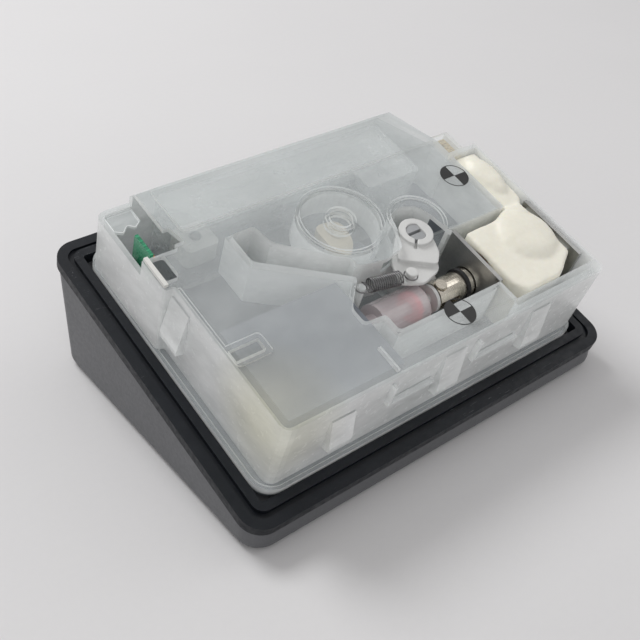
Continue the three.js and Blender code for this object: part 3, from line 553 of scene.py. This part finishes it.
def sweep(points, radius, sides=8):
    """Vertices and faces of a round tube along the points, closed at both ends."""
    points = [Vector(p) for p in points]
    vertices, faces = [], []
    tangent = (points[1] - points[0]).normalized()
    side = tangent.orthogonal().normalized()
    for i, point in enumerate(points):
        ahead = points[min(i + 1, len(points) - 1)]
        behind = points[max(i - 1, 0)]
        tangent = (ahead - behind).normalized()
        side = (side - side.dot(tangent) * tangent).normalized()
        other = tangent.cross(side)
        for k in range(sides):
            a = 2 * math.pi * k / sides
            vertices.append(point + radius * (math.cos(a) * side + math.sin(a) * other))
    for i in range(len(points) - 1):
        for k in range(sides):
            a, b = i * sides + k, i * sides + (k + 1) % sides
            faces.append((a, b, b + sides, a + sides))
    last = (len(points) - 1) * sides
    faces.append(tuple(reversed(range(sides))))
    faces.append(tuple(range(last, last + sides)))
    return vertices, faces


def helix(start, end, radius, turns, per_turn=18):
    """Points of a coil round the line from start to end."""
    axis = (end - start).normalized()
    side = axis.cross(REAR_UP)
    if side.length < 0.1:
        side = axis.cross(REAR_X)
    side.normalize()
    other = axis.cross(side)
    count = int(turns * per_turn)
    return [
        start.lerp(end, i / count)
        + radius
        * (
            math.cos(2 * math.pi * i / per_turn) * side
            + math.sin(2 * math.pi * i / per_turn) * other
        )
        for i in range(count + 1)
    ]


def softened(node, name, voxel, passes, look, body, ripple=0.0):
    """A copy of a CAD node with its edges run together, as a casting's are."""
    obj = bpy.data.objects.new(name, nodes[node].data.copy())
    bpy.context.scene.collection.objects.link(obj)
    remesh = obj.modifiers.new("remesh", "REMESH")
    remesh.mode = "VOXEL"
    remesh.voxel_size = voxel
    smooth = obj.modifiers.new("smooth", "SMOOTH")
    smooth.factor = 0.5
    smooth.iterations = passes
    if ripple:
        texture = bpy.data.textures.new(name + "_ripple", "CLOUDS")
        texture.noise_scale = 0.006
        wrinkle = obj.modifiers.new("ripple", "DISPLACE")
        wrinkle.texture = texture
        wrinkle.strength = ripple
        wrinkle.texture_coords = "LOCAL"
    bpy.context.view_layer.update()
    graph = bpy.context.evaluated_depsgraph_get()
    mesh = bpy.data.meshes.new_from_object(obj.evaluated_get(graph))
    obj.modifiers.clear()
    obj.data = mesh
    mesh.polygons.foreach_set("use_smooth", [True] * len(mesh.polygons))
    mesh.materials.clear()
    mesh.materials.append(look)
    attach(obj, body)
    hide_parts(node)
    return obj


# ---- Return spring: a tension coil with a hook at each end ----
POST = (-13.2, -17.0)
PEG = (5.5, -20.3)
SPRING_LEVEL = 28.9
SPRING_RADIUS = 2.3


def return_spring():
    post, peg = rear(*POST, SPRING_LEVEL), rear(*PEG, SPRING_LEVEL)
    axis = (peg - post).normalized()
    first, last = post.lerp(peg, 0.15), post.lerp(peg, 0.77)
    coil = helix(first, last, SPRING_RADIUS * MM, 15)
    side = axis.cross(REAR_UP)

    def hook(centre, toward, at, turn):
        """A wire loop round a post, that ends on the coil's line."""
        points = []
        for i in range(15):
            a = math.radians(-60 + 300 * i / 14)
            points.append(
                centre + SPRING_RADIUS * MM * (-math.cos(a) * toward + turn * math.sin(a) * side)
            )
        points.append(centre.lerp(at, 0.75))
        return points

    start_hook = hook(post, axis, first, 1)
    end_hook = hook(peg, -axis, last, 1)
    points = start_hook + [first] + coil + [last] + list(reversed(end_hook))
    vertices, faces = sweep(points, 0.26 * MM, 7)
    spring = piece("return_spring_coil", vertices, faces, SPRING, None)
    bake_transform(spring)
    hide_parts("return_spring")


return_spring()


# ---- Lid spring: a torsion coil on the hinge pin, with one leg that points along the lid. It
# all rides the housing, so the leg stays where it is when the lid opens. ----
def lid_spring():
    low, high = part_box("lid_spring")
    x, z = (low.x + high.x) / 2, (low.z + high.z) / 2
    start, end = Vector((x, low.y + 0.0003, z)), Vector((x, high.y - 0.0003, z))
    points = helix(start, end, 1.02 * MM, 14, 14)
    leg = points[-1] + Vector((0.0052, 0, 0.0004))
    vertices, faces = sweep(points + [leg], 0.2 * MM, 7)
    spring = piece("lid_spring_coil", vertices, faces, SPRING, "housing")
    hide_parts("lid_spring")


lid_spring()

# ---- Cast resin and the moulded lever ----
softened("coil_potting", "cast_resin", 0.0006, 22, RESIN, "housing", 0.0005)
softened("release_lever", "moulded_lever", 0.00028, 3, WHITE, "lever")


# ---- Alignment marks printed on the rear face: a thin ring round two filled quarters ----
MARK_RADIUS = 5.4
MARK_LEVELS = (31.02, 31.07)
RING_WIDTH = 0.32


def alignment_mark(name, x, y):
    def arc(radius, start, end):
        """Points on the mark's circle, from one angle to another in degrees."""
        steps = round((end - start) / 7.5)
        angles = [math.radians(start + (end - start) * i / steps) for i in range(steps + 1)]
        return [(x + radius * math.cos(a), y + radius * math.sin(a)) for a in angles]

    low, high = MARK_LEVELS
    inner = MARK_RADIUS - RING_WIDTH
    rings = ((MARK_RADIUS, low), (MARK_RADIUS, high), (inner, high), (inner, low))
    circles = [[rear(*point, level) for point in arc(radius, 0, 352.5)] for radius, level in rings]
    steps = len(circles[0])
    vertices = [circle[i] for i in range(steps) for circle in circles]
    faces = []
    for i in range(steps):
        j = (i + 1) % steps
        for k in range(4):
            n = (k + 1) % 4
            faces.append((4 * i + k, 4 * i + n, 4 * j + n, 4 * j + k))
    for start in (90, 270):
        outline = [(x, y)] + arc(MARK_RADIUS - 0.9 * RING_WIDTH, start, start + 90)
        points, sides = slab(outline, *MARK_LEVELS)
        first = len(vertices)
        vertices += points
        faces += [tuple(first + i for i in side) for side in sides]
    piece(name, vertices, faces, BLACK_PLASTIC, "housing", smooth=False)


alignment_mark("alignment_mark_1", 50.9, 8.6)
alignment_mark("alignment_mark_2", 8.5, -40.8)


# ---- Solder joints on the sensor board ----
BOARD_FACE = -65.98
SOLDER_JOINTS = ((23.4, 28.8), (30.2, 28.8), (25.6, 19.4), (28.6, 19.4), (27.0, 23.2))


def solder_joint(name, y, z):
    """A low dome on the board's inner face."""
    rings, steps = 4, 12
    vertices, faces = [], []
    for r in range(rings):
        rise = 0.5 * math.pi * r / (rings - 1)
        width = 0.62 * math.cos(rise) + 0.02
        for s in range(steps):
            a = 2 * math.pi * s / steps
            x = BOARD_FACE + 0.35 * math.sin(rise)
            vertices.append(rear(x, y + width * math.cos(a), z + width * math.sin(a)))
    for r in range(rings - 1):
        for s in range(steps):
            a, b = r * steps + s, r * steps + (s + 1) % steps
            faces.append((a, b, b + steps, a + steps))
    faces.append(tuple(reversed(range(steps))))
    faces.append(tuple(range((rings - 1) * steps, rings * steps)))
    piece(name, vertices, faces, NICKEL, "housing")


for i, (y, z) in enumerate(SOLDER_JOINTS):
    solder_joint(f"solder_joint_{i + 1}", y, z)


# ---- Web across the far end of the sensor's corner ----
def corner_web():
    """A thin plate of the housing's plastic, with a wavy near edge."""
    near = [(-69.0, 40.2), (-66.4, 38.6), (-63.8, 41.0), (-61.6, 39.2), (-58.8, 41.4)]
    vertices, faces = slab(near + [(-58.8, 47.4), (-69.0, 47.4)], 22.9, 24.1)
    web = piece("corner_web", vertices, faces, FROSTED, "housing")
    finish_edges(web, 0.3)


corner_web()


# ---- Floor and light ----
def floor():
    look = Look("pale_floor", Roughness=0.75)
    look.color(look.blotched((0.665, 0.66, 0.665), (0.69, 0.685, 0.69), 6, 400))
    look.bump(look.noise(700, 2), 0.03, 0.0002)
    size = 4.0
    made = piece(
        "floor",
        [(-size, -size, 0), (size, -size, 0), (size, size, 0), (-size, size, 0)],
        [(0, 1, 2, 3)],
        look.material,
        None,
    )
    made.location.z = -0.0002


def area_light(name, place, target, size, power):
    data = bpy.data.lights.new(name, "AREA")
    data.shape = "DISK"
    data.size = size
    data.energy = power
    light = bpy.data.objects.new(name, data)
    place, target = Vector(place), Vector(target)
    light.location = place
    light.rotation_euler = (target - place).to_track_quat("-Z", "Y").to_euler()
    bpy.context.scene.collection.objects.link(light)


def sky():
    world = bpy.data.worlds.new("studio")
    bpy.context.scene.world = world
    world.use_nodes = True
    background = world.node_tree.nodes["Background"]
    background.inputs["Color"].default_value = (1.0, 0.985, 0.985, 1)
    background.inputs["Strength"].default_value = 0.5


bpy.context.scene.view_settings.view_transform = "Standard"
bpy.context.scene.cycles.transparent_max_bounces = 32
floor()
sky()
area_light("key", (-0.2, 0.78, 1.0), (0, 0, 0.02), 0.6, 8.5)
area_light("fill", (-0.5, -0.8, 0.6), (0, 0, 0.02), 0.8, 1.4)
area_light("rim", (0.8, -0.2, 0.8), (0, 0, 0.02), 0.5, 0.9)
